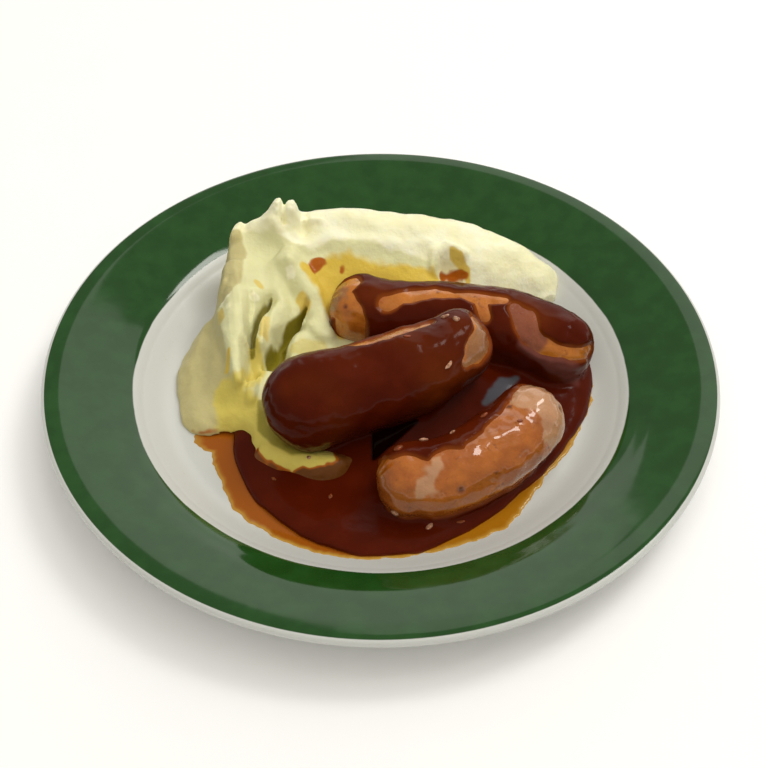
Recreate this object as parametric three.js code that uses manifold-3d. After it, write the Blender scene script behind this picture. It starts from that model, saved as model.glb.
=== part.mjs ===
// A plate of three thick pork sausages and mashed potato in dark gravy, on a green-rimmed dinner
// plate. Millimetres, +Z up. The origin is the middle of the plate's foot, on the table; +Y points
// to the back of the plate, where the mash stands highest, and -Y to the diner. A bearing is an
// angle round the plate's middle, in degrees from +X towards +Y.
import * as THREE from "three";
import { mergeVertices } from "three/addons/utils/BufferGeometryUtils.js";
import Module from "manifold-3d";

const wasm = await Module();
wasm.setup();

// ---- Driving dimensions ------------------------------------------------------------------

const GAP = 0.3; // clearance between pieces that touch

// A ten-inch dinner plate: a flat well, a curved wall and a broad, nearly straight rim.
const PLATE = {
  radius: 126,
  floorZ: 6,
  floorRadius: 78, // the well is flat out to here
  wallRadius: 98, // the wall has risen in full here
  wallRise: 8.6,
  rimRadius: 90, // the rim's own slope starts here
  rimSlope: 0.25,
  rollRadius: 117, // past here the rim rolls over towards its lip
  rollDrop: 1.4,
  thickness: 3.6,
  underZ: 2.4, // underside of the well, inside the foot
  footOuter: 77,
  footInner: 72.5,
  footFlareOuter: 1.8, // how far the foot widens up to the underside, outside and inside
  footFlareInner: 1.5,
  segments: 60,
  rimSteps: 4,
  wallSteps: 7,
  lipSteps: 5,
};

// The three sausages: spine from left end to right end, the radius of the middle, and the share
// of that radius where each rounded end begins.
const SAUSAGES = {
  sausage_back: {
    spine: [[-8, 24.5, 22.5], [8, 21, 20.7], [30, 19.5, 20.7], [52, 15.2, 20.6], [67.5, 7, 19.6]],
    radius: 14.2,
    leftShare: 0.9,
    rightShare: 0.93,
  },
  sausage_middle: {
    spine: [[-25.5, -30.3, 29], [-12, -25.9, 30.3], [1.5, -21.6, 31.4], [15.5, -15.9, 32.7],
      [27.5, -7.4, 33.8]],
    radius: 15.4,
    leftShare: 1.06,
    rightShare: 0.84,
  },
  sausage_front: {
    spine: [[10.5, -59, 20], [24, -56.8, 20], [41, -46, 20.5], [53.5, -32.2, 21.2]],
    radius: 13.3,
    leftShare: 0.96,
    rightShare: 0.98,
  },
};
const CAP_LENGTH = 0.95; // length of a rounded end, as a share of its radius
const TAPER = 0.35; // share of the length over which the radius changes towards an end
const SAUSAGE_MESH = { bodyRings: 11, capRings: 5, sides: 18 };

// The mash is a crescent heap, given by radial sections: the bearing, the crest's radius and
// height, the radius of its outer foot, the radius and height where it meets the gravy, and how
// full its outer slope is (2 is domed, 1 is straight).
const MASH_SECTIONS = [
  { bearing: 259, crest: 42, height: 10.5, outer: 44, inner: 40, innerZ: 9, bulge: 2.2 },
  { bearing: 253, crest: 45.5, height: 13, outer: 52, inner: 40.5, innerZ: 10.5, bulge: 2.2 },
  { bearing: 246, crest: 47.5, height: 14.5, outer: 56.5, inner: 40, innerZ: 11.5, bulge: 2.2 },
  { bearing: 238, crest: 49.5, height: 15, outer: 57, inner: 40, innerZ: 12, bulge: 2.2 },
  { bearing: 229, crest: 52, height: 15.5, outer: 60.5, inner: 39.5, innerZ: 12.5, bulge: 2.2 },
  { bearing: 220, crest: 53.5, height: 16, outer: 61.5, inner: 38, innerZ: 13, bulge: 2 },
  { bearing: 212, crest: 54, height: 16.5, outer: 59.5, inner: 36, innerZ: 13.5, bulge: 2 },
  { bearing: 206, crest: 54.5, height: 17.5, outer: 64, inner: 34, innerZ: 14, bulge: 1.8 },
  { bearing: 199, crest: 54.5, height: 19.5, outer: 75, inner: 31, innerZ: 14.5, bulge: 1.4 },
  { bearing: 188, crest: 54, height: 22, outer: 77, inner: 25, innerZ: 14.5, bulge: 1.3 },
  { bearing: 174, crest: 55.5, height: 26.5, outer: 78, inner: 19, innerZ: 14, bulge: 1.3 },
  { bearing: 161, crest: 60, height: 29.5, outer: 77, inner: 13, innerZ: 13.5, bulge: 1.4 },
  { bearing: 150, crest: 67.5, height: 32.5, outer: 80, inner: 11, innerZ: 13, bulge: 1.6 },
  { bearing: 141, crest: 75.5, height: 34, outer: 84, inner: 11, innerZ: 13, bulge: 1.9 },
  { bearing: 133.5, crest: 78, height: 36.5, outer: 85.5, inner: 12, innerZ: 14, bulge: 2.1 },
  { bearing: 125, crest: 72, height: 39.5, outer: 85.5, inner: 14, innerZ: 15, bulge: 2.1 },
  { bearing: 114, crest: 65, height: 39.5, outer: 85, inner: 20, innerZ: 17, bulge: 2.1 },
  { bearing: 101, crest: 61.5, height: 39.5, outer: 83, inner: 27, innerZ: 20, bulge: 2.1 },
  { bearing: 88, crest: 60.5, height: 38, outer: 81.5, inner: 31, innerZ: 21, bulge: 2.1 },
  { bearing: 75, crest: 62.5, height: 37, outer: 82.5, inner: 33, innerZ: 23, bulge: 2.1 },
  { bearing: 63, crest: 67.5, height: 34, outer: 85.5, inner: 36, innerZ: 23, bulge: 2.1 },
  { bearing: 53, crest: 74, height: 29, outer: 88, inner: 42, innerZ: 20.5, bulge: 2.1 },
  { bearing: 45, crest: 79.5, height: 24, outer: 90.5, inner: 50, innerZ: 17, bulge: 2.1 },
  { bearing: 38, crest: 82.5, height: 18, outer: 90.5, inner: 61, innerZ: 13.5, bulge: 2.2 },
  { bearing: 33, crest: 80.5, height: 12, outer: 84.5, inner: 74, innerZ: 10, bulge: 2.2 },
];
const MASH_EDGE = 1.2; // thickness of the mash where it runs out on the plate
const OUTER_ROUNDING = 0.75; // the lower, the fuller the outer slope is near the crest
const INNER_ROUNDING = 0.9;
const RELIEF_FADE = 2.5; // the relief dies out over the last 1 / 2.5 of each slope
const MASH_MESH = { sections: 62, across: 20, under: 4 };

// Relief on the mash: each ridge (positive rise) or furrow (negative) follows a short path.
const MASH_RELIEF = [
  { path: [[-41.5, 57.5], [-37, 58]], rise: 5, width: 5.2 }, // broad base of the two peaks
  { path: [[-40.6, 56], [-40, 60]], rise: 5.6, width: 3.2 }, // tall peak
  { path: [[-34.4, 56], [-34.2, 60]], rise: 4.8, width: 2.3 }, // lower peak beside it
  { path: [[-27, 59], [-12, 59]], rise: 2.2, width: 6 }, // back ridge, to the right of the peaks
  { path: [[-53, 38], [-54, 20], [-53, 4], [-53, -13]], rise: 3, width: 4.5 }, // left tongue
  { path: [[-41, 38], [-39, 24], [-42, 13], [-45, 3]], rise: 3, width: 3.4 }, // middle tongue
  { path: [[-36, 40], [-29, 31], [-23, 21], [-18, 11]], rise: 3.5, width: 4.2 }, // right flap
  { path: [[-42, 24], [-46, 19], [-48, 11], [-47, -8]], rise: -4.5, width: 2.8 }, // left furrow
  { path: [[-29, 21], [-35, 14], [-38, 4], [-42, -2]], rise: -5, width: 3 }, // right furrow
  { path: [[-64, 26], [-68, 6], [-66, -10]], rise: -1.8, width: 5 }, // hollow in the left flank
  { path: [[24, 43], [30, 42]], rise: -5, width: 4.6 }, // small hollow that holds gravy
  { path: [[-10, 52], [8, 50]], rise: -2, width: 5 }, // dip under the back ridge
];

// The pool of gravy: its edge as bearing and radius from the plate's middle, and its level.
const POOL_EDGE = [
  [205, 60], [215, 65], [232, 72], [249, 78], [265, 82], [279, 81], [292, 77], [313, 73],
  [335, 75], [351, 79], [366, 82], [378, 80], [405, 56], [450, 40], [520, 38], [550, 44],
  [561, 54],
];
const POOL = {
  level: 9.8,
  edge: 1.2, // thickness of the pool's rounded edge
  edgeWidth: 7,
  bearings: 60,
  rings: 11,
  crowding: 1.25, // how much closer the rings lie towards the edge
};
const POOL_HEAPS = [
  { path: [[-26, -30], [8, -20]], rise: 6, width: 15 }, // under the middle sausage
  { path: [[12, -17], [28, -7]], rise: 9, width: 14 }, // under its raised right end
  { path: [[36, -5], [62, -1]], rise: 3.5, width: 13 }, // against the front of the back sausage
];

// ---- Helpers -----------------------------------------------------------------------------

const radians = (degrees) => (degrees * Math.PI) / 180;

function smoothstep(low, high, value) {
  const t = Math.min(Math.max((value - low) / (high - low), 0), 1);
  return t * t * (3 - 2 * t);
}

// Height of the plate's upper face at a radius.
function plateTop(radius) {
  const wall = PLATE.wallRise * smoothstep(PLATE.floorRadius, PLATE.wallRadius, radius);
  const rim = PLATE.rimSlope * Math.max(0, radius - PLATE.rimRadius);
  const roll = Math.max(0, radius - PLATE.rollRadius) / (PLATE.radius - PLATE.rollRadius);
  return PLATE.floorZ + wall + rim - PLATE.rollDrop * roll ** 2;
}

// A smooth value through evenly spaced samples, at place u from 0 to 1.
function smoothThrough(samples, u) {
  const last = samples.length - 1;
  const index = Math.min(Math.floor(u * last), last - 1);
  const t = u * last - index;
  const b = samples[index];
  const c = samples[index + 1];
  const a = index > 0 ? samples[index - 1] : 2 * b - c;
  const d = index + 2 <= last ? samples[index + 2] : 2 * c - b;
  return 0.5 * (2 * b + (c - a) * t + (2 * a - 5 * b + 4 * c - d) * t ** 2
    + (3 * b - a - 3 * c + d) * t ** 3);
}

// Distance in plan from a point to a path of straight stretches.
function distanceToPath(x, y, path) {
  let nearest = Infinity;
  for (let i = 0; i + 1 < path.length; i += 1) {
    const [ax, ay] = path[i];
    const [dx, dy] = [path[i + 1][0] - ax, path[i + 1][1] - ay];
    const t = Math.min(Math.max(((x - ax) * dx + (y - ay) * dy) / (dx * dx + dy * dy), 0), 1);
    nearest = Math.min(nearest, Math.hypot(x - ax - t * dx, y - ay - t * dy));
  }
  return nearest;
}

const bump = (x, y, { path, rise, width }) =>
  rise * Math.exp(-((distanceToPath(x, y, path) / width) ** 2));

// A closed skin over rings with the same number of points each, shut by a point at either end.
function skinOver(rings, startPoint, endPoint) {
  const count = rings[0].length;
  const positions = [...rings.flat(), startPoint, endPoint].flat();
  const start = rings.length * count;
  const faces = [];
  for (let k = 0; k < count; k += 1) {
    const next = (k + 1) % count;
    faces.push(start, next, k);
    const lastRing = start - count;
    faces.push(start + 1, lastRing + k, lastRing + next);
    for (let i = 0; i + 1 < rings.length; i += 1) {
      const [a, b] = [i * count + k, i * count + next];
      faces.push(a, b, b + count, a, b + count, a + count);
    }
  }
  const geometry = new THREE.BufferGeometry();
  geometry.setAttribute("position", new THREE.Float32BufferAttribute(positions, 3));
  geometry.setIndex(faces);
  return geometry;
}

function toSolid(geometry) {
  const bare = geometry.clone();
  bare.deleteAttribute("normal");
  bare.deleteAttribute("uv");
  const merged = mergeVertices(bare, 1e-4);
  return new wasm.Manifold(new wasm.Mesh({
    numProp: 3,
    vertProperties: new Float32Array(merged.attributes.position.array),
    triVerts: new Uint32Array(merged.index.array),
  }));
}

// The largest piece of a cut solid, as a three.js geometry: loose scraps are dropped.
function toGeometry(solid) {
  const pieces = solid.decompose();
  const largest = pieces.reduce((a, b) => (b.volume() > a.volume() ? b : a));
  const mesh = largest.getMesh();
  const geometry = new THREE.BufferGeometry();
  geometry.setAttribute("position", new THREE.Float32BufferAttribute(mesh.vertProperties, 3));
  geometry.setIndex(Array.from(mesh.triVerts));
  return geometry;
}

// ---- The plate ---------------------------------------------------------------------------

function plateGeometry() {
  const profile = [[0, PLATE.floorZ], [PLATE.floorRadius, PLATE.floorZ]];
  const wallWidth = PLATE.wallRadius - PLATE.floorRadius;
  for (let i = 1; i <= PLATE.wallSteps; i += 1) {
    const radius = PLATE.floorRadius + (wallWidth * i) / PLATE.wallSteps;
    profile.push([radius, plateTop(radius)]);
  }
  const lipRadius = PLATE.thickness / 2;
  const lipCentre = PLATE.radius - lipRadius;
  const rimWidth = lipCentre - PLATE.wallRadius;
  for (let i = 1; i < PLATE.rimSteps; i += 1) {
    const radius = PLATE.wallRadius + (rimWidth * i) / PLATE.rimSteps;
    profile.push([radius, plateTop(radius)]);
  }
  const lipZ = plateTop(lipCentre) - lipRadius;
  for (let i = 0; i <= PLATE.lipSteps; i += 1) {
    const angle = Math.PI / 2 - (Math.PI * i) / PLATE.lipSteps;
    profile.push([lipCentre + lipRadius * Math.cos(angle), lipZ + lipRadius * Math.sin(angle)]);
  }
  for (let i = PLATE.wallSteps + 1; i >= 2; i -= 1) {
    const radius = PLATE.floorRadius + (wallWidth * i) / PLATE.wallSteps;
    profile.push([radius, plateTop(radius) - PLATE.thickness]);
  }
  profile.push([PLATE.footOuter + PLATE.footFlareOuter, PLATE.underZ], [PLATE.footOuter, 0]);
  profile.push([PLATE.footInner, 0], [PLATE.footInner - PLATE.footFlareInner, PLATE.underZ]);
  profile.push([0, PLATE.underZ]);
  const points = profile.reverse().map(([radius, z]) => new THREE.Vector2(radius, z));
  return new THREE.LatheGeometry(points, PLATE.segments).rotateX(Math.PI / 2);
}

// ---- The sausages ------------------------------------------------------------------------

// Radius of a sausage at a distance along its spine; the rounded ends lie outside 0 to length.
function sausageRadius(sausage, along, length) {
  const left = smoothstep(0, TAPER * length, along);
  const right = smoothstep(0, TAPER * length, length - along);
  const leftShare = sausage.leftShare + (1 - sausage.leftShare) * left;
  const rightShare = sausage.rightShare + (1 - sausage.rightShare) * right;
  return sausage.radius * leftShare * rightShare;
}

// The skin of a sausage, or of a sausage grown by an extra thickness all round.
function sausageGeometry(sausage, extra) {
  const { bodyRings, capRings, sides } = SAUSAGE_MESH;
  const curve = new THREE.CatmullRomCurve3(sausage.spine.map((p) => new THREE.Vector3(...p)));
  const length = curve.getLength();
  const radiusAt = (share) => sausageRadius(sausage, share * length, length) + extra;
  const stations = [];
  for (let i = 0; i < bodyRings; i += 1) {
    const share = i / (bodyRings - 1);
    stations.push({ share, beyond: 0, radius: radiusAt(share) });
  }
  for (let i = 1; i <= capRings; i += 1) {
    const angle = (Math.PI / 2) * (i / (capRings + 1));
    const [beyond, narrowing] = [CAP_LENGTH * Math.sin(angle), Math.cos(angle)];
    const [left, right] = [radiusAt(0), radiusAt(1)];
    stations.unshift({ share: 0, beyond: -beyond * left, radius: left * narrowing });
    stations.push({ share: 1, beyond: beyond * right, radius: right * narrowing });
  }
  const centreOf = ({ share, beyond }) =>
    curve.getPointAt(share).addScaledVector(curve.getTangentAt(share), beyond);
  const rings = stations.map((station) => {
    const tangent = curve.getTangentAt(station.share);
    const side = new THREE.Vector3(0, 0, 1).cross(tangent).normalize();
    const up = tangent.clone().cross(side);
    return Array.from({ length: sides }, (_, k) => {
      const angle = (2 * Math.PI * k) / sides;
      return centreOf(station).addScaledVector(side, station.radius * Math.cos(angle))
        .addScaledVector(up, station.radius * Math.sin(angle)).toArray();
    });
  });
  const leftTip = centreOf({ share: 0, beyond: -CAP_LENGTH * radiusAt(0) });
  const rightTip = centreOf({ share: 1, beyond: CAP_LENGTH * radiusAt(1) });
  return skinOver(rings, leftTip.toArray(), rightTip.toArray());
}

// ---- The mash ----------------------------------------------------------------------------

// One section of the mash as a closed loop: over the top from the outer foot, back underneath.
function mashSection(share, extra) {
  const value = (key) => smoothThrough(MASH_SECTIONS.map((section) => section[key]), share);
  const bearing = radians(value("bearing"));
  const [crest, height, innerZ] = [value("crest"), value("height"), value("innerZ")];
  const [outer, inner] = [value("outer") + extra, value("inner") - extra];
  const footZ = plateTop(outer) + MASH_EDGE;
  const at = (radius, z) => [radius * Math.cos(bearing), radius * Math.sin(bearing), z];
  const loop = [];
  for (let i = 0; i <= MASH_MESH.across; i += 1) {
    const t = -Math.cos((Math.PI * i) / MASH_MESH.across);
    const radius = t < 0 ? crest - (outer - crest) * t : crest + (inner - crest) * t;
    const dome = (1 - Math.abs(t) ** value("bulge")) ** OUTER_ROUNDING;
    const fall = ((1 + Math.cos(Math.PI * t)) / 2) ** INNER_ROUNDING;
    const slope = t < 0 ? footZ + (height - footZ) * dome : innerZ + (height - innerZ) * fall;
    const [x, y] = at(radius, 0);
    const relief = MASH_RELIEF.reduce((sum, one) => sum + bump(x, y, one), 0);
    const fade = Math.min(1, RELIEF_FADE * (1 - Math.abs(t)));
    loop.push([x, y, Math.max(plateTop(radius) + MASH_EDGE, slope + relief * fade) + extra]);
  }
  for (let i = 0; i <= MASH_MESH.under; i += 1) {
    const radius = inner + ((outer - inner) * i) / MASH_MESH.under;
    loop.push(at(radius, plateTop(radius) + GAP - extra));
  }
  return loop;
}

function mashGeometry(extra) {
  const rings = [];
  for (let i = 0; i <= MASH_MESH.sections; i += 1) {
    rings.push(mashSection(i / MASH_MESH.sections, extra));
  }
  const middle = (ring) => [0, 1, 2].map((axis) =>
    ring.reduce((sum, point) => sum + point[axis], 0) / ring.length);
  return skinOver(rings, middle(rings[0]), middle(rings[rings.length - 1]));
}

// ---- The gravy ---------------------------------------------------------------------------

function poolRadius(bearing) {
  const edge = POOL_EDGE;
  const start = edge[0][0];
  const turned = start + ((((bearing - start) % 360) + 360) % 360);
  const closed = [...edge, [start + 360, edge[0][1]]];
  const index = closed.findIndex(([b], i) => i + 1 < closed.length && turned <= closed[i + 1][0]);
  const [[b0, r0], [b1, r1]] = [closed[index], closed[index + 1]];
  return r0 + ((r1 - r0) * (turned - b0)) / (b1 - b0);
}

function poolTop(x, y, inside) {
  const rounding = Math.sqrt(1 - (1 - Math.min(inside / POOL.edgeWidth, 1)) ** 2);
  const floor = plateTop(Math.hypot(x, y)) + POOL.edge;
  const heap = POOL_HEAPS.reduce((sum, one) => sum + bump(x, y, one), 0);
  return floor + (Math.max(POOL.level - floor, 0) + heap) * rounding;
}

function gravyGeometry() {
  const rings = [];
  for (let i = 1; i < POOL.rings * 2; i += 1) {
    const top = i <= POOL.rings;
    const share = top ? i / POOL.rings : 2 - i / POOL.rings;
    const spread = 1 - (1 - share) ** POOL.crowding;
    rings.push(Array.from({ length: POOL.bearings }, (_, k) => {
      const bearing = (-360 * k) / POOL.bearings;
      const edge = poolRadius(bearing);
      const radius = edge * spread;
      const [x, y] = [radius * Math.cos(radians(bearing)), radius * Math.sin(radians(bearing))];
      return [x, y, top ? poolTop(x, y, edge - radius) : plateTop(radius) + GAP];
    }));
  }
  return skinOver(rings, [0, 0, poolTop(0, 0, PLATE.floorRadius)], [0, 0, PLATE.floorZ + GAP]);
}

// ---- Assembly ----------------------------------------------------------------------------

const FINISHES = {
  plate: { color: 0x33512f, roughness: 0.2, metalness: 0 },
  mash: { color: 0xe2dca8, roughness: 0.6, metalness: 0 },
  sausage_back: { color: 0x7a3f1c, roughness: 0.35, metalness: 0 },
  sausage_middle: { color: 0x5a2410, roughness: 0.3, metalness: 0 },
  sausage_front: { color: 0x82471d, roughness: 0.35, metalness: 0 },
  gravy: { color: 0x461204, roughness: 0.15, metalness: 0 },
};

const geometries = { plate: plateGeometry() };
let mash = toSolid(mashGeometry(0));
let gravy = toSolid(gravyGeometry()).subtract(toSolid(mashGeometry(GAP)));
for (const [name, sausage] of Object.entries(SAUSAGES)) {
  const grown = toSolid(sausageGeometry(sausage, GAP));
  geometries[name] = sausageGeometry(sausage, 0);
  mash = mash.subtract(grown);
  gravy = gravy.subtract(grown);
}
geometries.mash = toGeometry(mash);
geometries.gravy = toGeometry(gravy);

const meal = new THREE.Group();
for (const [name, geometry] of Object.entries(geometries)) {
  const mesh = new THREE.Mesh(geometry, new THREE.MeshStandardMaterial(FINISHES[name]));
  mesh.name = name;
  meal.add(mesh);
}

export default meal;
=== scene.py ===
"""A plate of three sausages and mashed potato in dark gravy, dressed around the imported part.

The food is worked out in millimetres, as solids given by their distance fields, and turned to
metres when its meshes are made. +Y is the back of the plate, +X the diner's right.
"""

import math

import bpy
import numpy as np
import openvdb
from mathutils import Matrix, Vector, noise
from mathutils.bvhtree import BVHTree


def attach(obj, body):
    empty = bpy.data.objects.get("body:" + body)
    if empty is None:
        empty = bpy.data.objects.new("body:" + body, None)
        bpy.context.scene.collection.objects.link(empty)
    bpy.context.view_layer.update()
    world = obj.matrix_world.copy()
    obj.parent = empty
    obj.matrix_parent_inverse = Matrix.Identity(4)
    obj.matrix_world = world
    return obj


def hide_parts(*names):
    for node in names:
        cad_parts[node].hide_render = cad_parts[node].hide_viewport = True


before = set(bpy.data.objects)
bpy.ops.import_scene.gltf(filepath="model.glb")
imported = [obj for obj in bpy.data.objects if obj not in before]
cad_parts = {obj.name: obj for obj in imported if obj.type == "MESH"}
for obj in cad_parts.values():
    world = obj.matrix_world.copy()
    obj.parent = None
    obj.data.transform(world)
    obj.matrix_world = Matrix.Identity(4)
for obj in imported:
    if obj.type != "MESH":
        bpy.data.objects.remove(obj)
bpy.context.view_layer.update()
MM = 0.001

# ---- Sizes, in millimetres, as the part has them -------------------------------------------

PLATE_RADIUS = 125.9
FLOOR_Z = 6.0
FLOOR_RADIUS = 78.0
WALL_RADIUS = 98.0
WALL_RISE = 8.6
RIM_RADIUS = 90.0
RIM_SLOPE = 0.25
ROLL_RADIUS = 117.0
ROLL_WIDTH = 9.0
ROLL_DROP = 1.4
PLATE_THICKNESS = 3.6
UNDER_Z = 2.4
FOOT_OUTER = 77.0
FOOT_INNER = 72.5
GREEN_FROM = 93.4  # the green glaze starts here, just below the rim's shoulder
SHOULDER_EASE = 0.7  # how much the glaze softens the shoulder between wall and rim
SHOULDER_RADIUS = 97.0
SHOULDER_WIDTH = 4.5

# name: spine from left end to right end, full radius, share of it left at each end
SAUSAGES = {
    "sausage_back": (
        [(-8, 24.5, 22.5), (8, 21, 20.7), (30, 19.5, 20.7), (52, 15.2, 20.6), (67.5, 7, 19.6)],
        14.2, 0.90, 0.93,
    ),
    "sausage_middle": (
        [(-25.5, -30.3, 29), (-12, -25.9, 30.3), (1.5, -21.6, 31.4), (15.5, -15.9, 32.7),
         (27.5, -7.4, 33.8)],
        15.4, 1.06, 0.84,
    ),
    "sausage_front": (
        [(10.5, -59, 20), (24, -56.8, 20), (41, -46, 20.5), (53.5, -32.2, 21.2)],
        13.3, 0.96, 0.98,
    ),
}
CAP_LENGTH = 0.95
PUCKER_DEPTH = 1.1
PUCKER_RADIUS = 2.4
PLEATS = 11
PLEAT_DEPTH = 0.16  # as a share of the radius
TAPER = 0.35  # share of the length over which the radius changes towards an end

# bearing, crest radius and height, outer foot, inner foot and its height, fullness of the slope
MASH_SECTIONS = np.array([
    (259, 42, 10.5, 44, 40, 9, 2.2),
    (253, 45.5, 13, 52, 40.5, 10.5, 2.2),
    (246, 47.5, 14.5, 56.5, 40, 11.5, 2.2),
    (238, 49.5, 15, 57, 40, 12, 2.2),
    (229, 52, 15.5, 60.5, 39.5, 12.5, 2.2),
    (220, 53.5, 16, 61.5, 38, 13, 2),
    (212, 54, 16.5, 59.5, 36, 13.5, 2),
    (206, 54.5, 17.5, 64, 34, 14, 1.8),
    (199, 54.5, 19.5, 75, 31, 14.5, 1.4),
    (188, 54, 22, 77, 25, 14.5, 1.3),
    (174, 55.5, 26.5, 78, 19, 14, 1.3),
    (161, 60, 29.5, 77, 13, 13.5, 1.4),
    (150, 67.5, 32.5, 80, 11, 13, 1.6),
    (141, 75.5, 34, 84, 11, 13, 1.9),
    (133.5, 78, 36.5, 85.5, 12, 14, 2.1),
    (125, 72, 39.5, 85.5, 14, 15, 2.1),
    (114, 65, 39.5, 85, 20, 17, 2.1),
    (101, 61.5, 39.5, 83, 27, 20, 2.1),
    (88, 60.5, 38, 81.5, 31, 21, 2.1),
    (75, 62.5, 37, 82.5, 33, 23, 2.1),
    (63, 67.5, 34, 85.5, 36, 23, 2.1),
    (53, 74, 29, 88, 42, 20.5, 2.1),
    (45, 79.5, 24, 90.5, 50, 17, 2.1),
    (38, 82.5, 18, 90.5, 61, 13.5, 2.2),
    (33, 80.5, 12, 84.5, 74, 10, 2.2),
])

# ridges (positive rise) and furrows (negative) on the mash: path in plan, rise, width
MASH_RELIEF = [
    ([(-41.5, 57.5), (-37, 58)], 5, 5.2),
    ([(-40.6, 56), (-40, 60)], 5.6, 3.2),
    ([(-34.4, 56), (-34.2, 60)], 4.8, 2.3),
    ([(-27, 59), (-12, 59)], 2.2, 6),
    ([(-53, 38), (-54, 20), (-53, 4), (-53, -13)], 3, 4.5),
    ([(-41, 38), (-39, 24), (-42, 13), (-45, 3)], 3, 3.4),
    ([(-36, 40), (-29, 31), (-23, 21), (-18, 11)], 3.5, 4.2),
    ([(-42, 24), (-46, 19), (-48, 11), (-47, -8)], -4.5, 2.8),
    ([(-29, 21), (-35, 14), (-38, 4), (-42, -2)], -5, 3),
    ([(-64, 26), (-68, 6), (-66, -10)], -1.8, 5),
    ([(24, 43), (30, 42)], -5, 4.6),
    ([(-10, 52), (8, 50)], -2, 5),
]

# edge of the gravy pool: bearing and radius
POOL_EDGE = np.array([
    (205, 60), (215, 65), (232, 72), (249, 78), (265, 82), (279, 81), (292, 77), (313, 73),
    (335, 75), (351, 79), (366, 82), (378, 80), (405, 56), (450, 40), (520, 38), (550, 44),
    (561, 54), (565, 60),
])
POOL_LEVEL = 9.8
POOL_EDGE_HEIGHT = 1.2
POOL_EDGE_WIDTH = 7.0
POOL_HEAPS = [
    ([(-26, -30), (8, -20)], 6, 15),
    ([(12, -17), (28, -7)], 9, 14),
    ([(36, -5), (62, -1)], 3.5, 13),
]


# ---- Small tools ----------------------------------------------------------------------------

def smoothstep(low, high, value):
    t = np.clip((value - low) / (high - low), 0, 1)
    return t * t * (3 - 2 * t)


def plate_top(radius):
    """Height of the plate's upper face."""
    wall = WALL_RISE * smoothstep(FLOOR_RADIUS, WALL_RADIUS, radius)
    rim = RIM_SLOPE * np.maximum(0, radius - RIM_RADIUS)
    roll = np.maximum(0, radius - ROLL_RADIUS) / ROLL_WIDTH
    return FLOOR_Z + wall + rim - ROLL_DROP * roll ** 2


def through(rows, share):
    """Catmull-Rom curve through evenly spaced rows, at shares from 0 to 1."""
    rows = np.asarray(rows, float)
    if rows.ndim == 1:
        rows = rows[:, None]
    last = len(rows) - 1
    place = np.clip(np.asarray(share, float), 0, 1) * last
    index = np.minimum(place.astype(int), last - 1)
    t = (place - index)[:, None]
    padded = np.vstack([2 * rows[0] - rows[1], rows, 2 * rows[-1] - rows[-2]])
    a, b, c, d = (padded[index + k] for k in range(4))
    return 0.5 * (2 * b + (c - a) * t + (2 * a - 5 * b + 4 * c - d) * t ** 2
                  + (3 * b - a - 3 * c + d) * t ** 3)


def lobe_reach(x, y, path):
    """How far points in plan lie from a path, in half widths of it."""
    nearest = np.full(np.broadcast(x, y).shape, 99.0)
    for (ax, ay, aw), (bx, by, bw) in zip(path, path[1:]):
        dx, dy = bx - ax, by - ay
        t = np.clip(((x - ax) * dx + (y - ay) * dy) / (dx * dx + dy * dy), 0, 1)
        away = np.hypot(x - ax - t * dx, y - ay - t * dy) / (aw + t * (bw - aw))
        nearest = np.minimum(nearest, away)
    return nearest


def bumps(x, y, rows):
    """Soft ridges, or furrows where the rise is negative: path in plan, rise, half width."""
    return sum(rise * np.exp(-lobe_reach(x, y, [(*spot, width) for spot in path]) ** 2)
               for path, rise, width in rows)


def wander(points, size, seed, octaves=1):
    """Smooth random values, about -1 to 1, at points in mm; size is the lumps' own size."""
    shift = Vector((seed * 17.3, seed * 5.1, seed * 9.7))
    total = np.zeros(len(points))
    gain = 1.0
    for _ in range(octaves):
        scaled = (np.asarray(points) / size).tolist()
        total += gain * np.array([noise.noise(Vector(p) + shift) for p in scaled])
        size, gain = size / 2.1, gain / 2
    return total * 1.6


def blend_min(a, b, width):
    """The lower of two fields, rounded where they meet."""
    h = np.maximum(width - np.abs(a - b), 0) / width
    return np.minimum(a, b) - h * h * width / 4


def blend_max(a, b, width):
    return -blend_min(-a, -b, width)


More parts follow.
